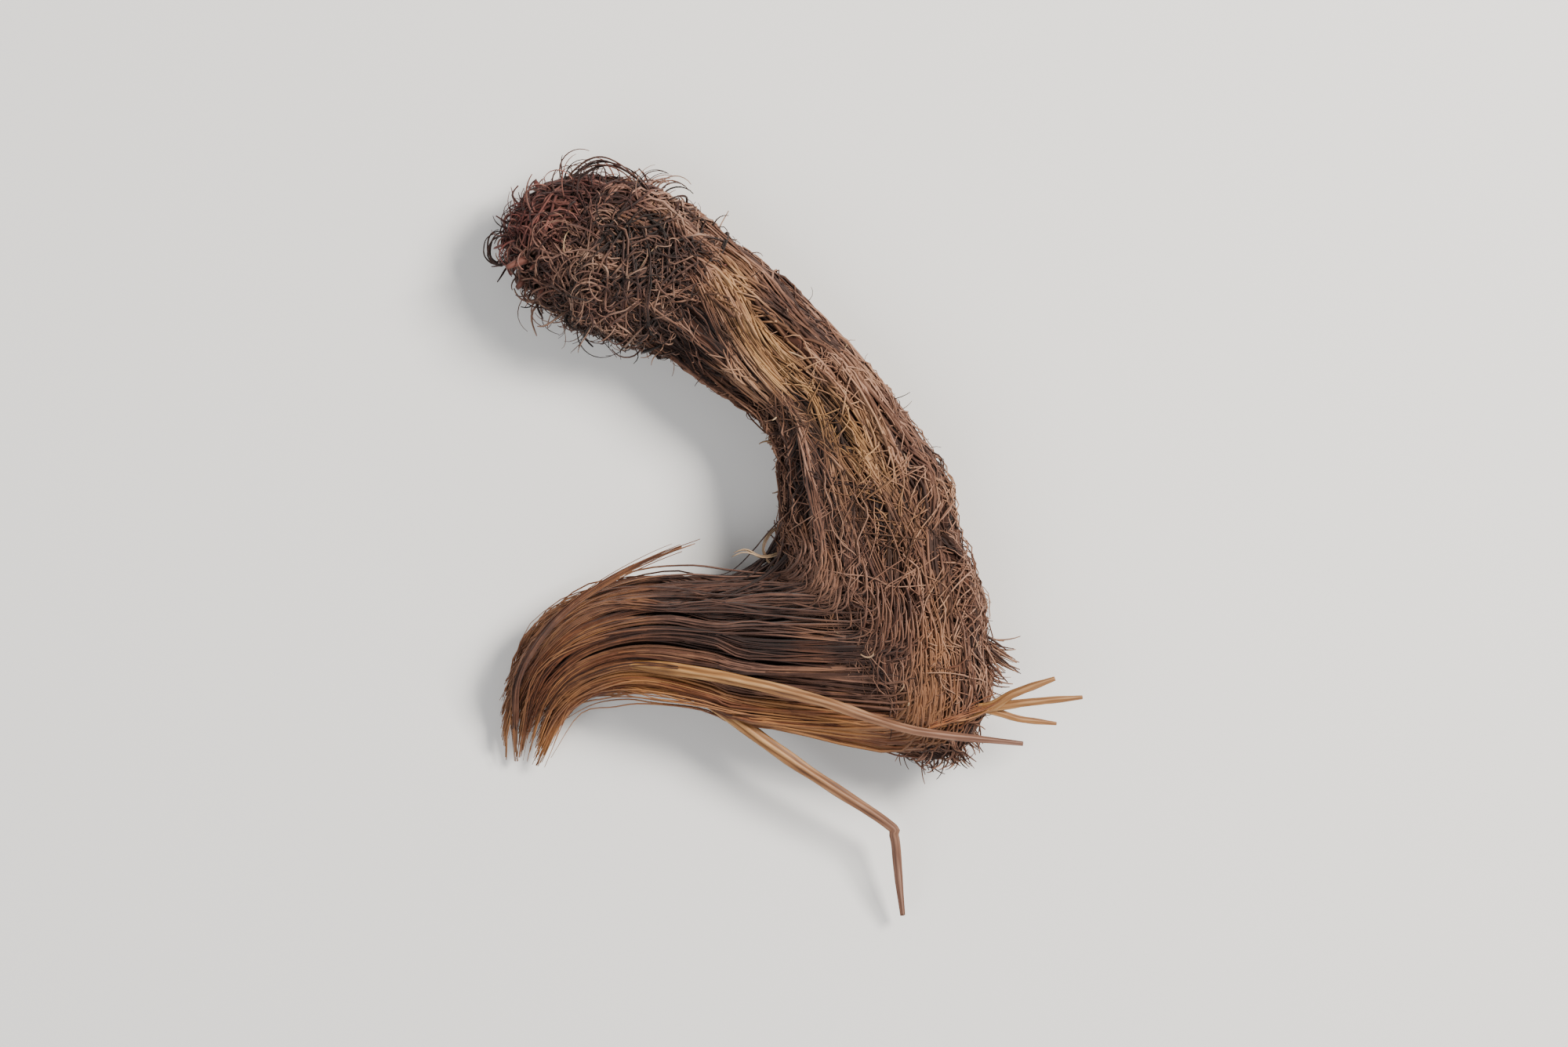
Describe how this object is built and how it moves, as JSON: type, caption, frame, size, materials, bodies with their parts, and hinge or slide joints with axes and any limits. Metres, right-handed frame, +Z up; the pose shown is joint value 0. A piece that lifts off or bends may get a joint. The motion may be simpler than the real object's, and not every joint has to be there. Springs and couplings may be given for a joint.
{
  "type": "jatamansi root",
  "caption": "Dried jatamansi rhizome: a bent, fibre-coated root with curled rootlets at one end, a combed tail of leaf-base fibres swept back beside it, and dry leaf stalks.",
  "frame": {"origin": "centre of the bounding box's bottom face, on the surface that the root lies on", "axes": "+Z up from that surface; +Y along the root's longest extent, towards the tuft of rootlets; +X to the right, seen from above"},
  "size_m": [0.0468, 0.062, 0.015],
  "materials": {
    "fibre_coat": "matted dry brown fibre, dull, with greyish-pink and olive streaks",
    "leaf_fibre": "combed dry leaf-base fibre, rust to golden brown, faint sheen along the strands",
    "dry_stalk": "dry straw-coloured leaf stalk, finely grooved, dull"
  },
  "bodies": {
    "root": {"rhizome": "fibre_coat", "fibre_tail": "leaf_fibre", "leaf_stalk_long": "dry_stalk", "leaf_stalk_kinked": "dry_stalk", "leaf_stalk_forked": "dry_stalk"}
  },
  "joints": []
}
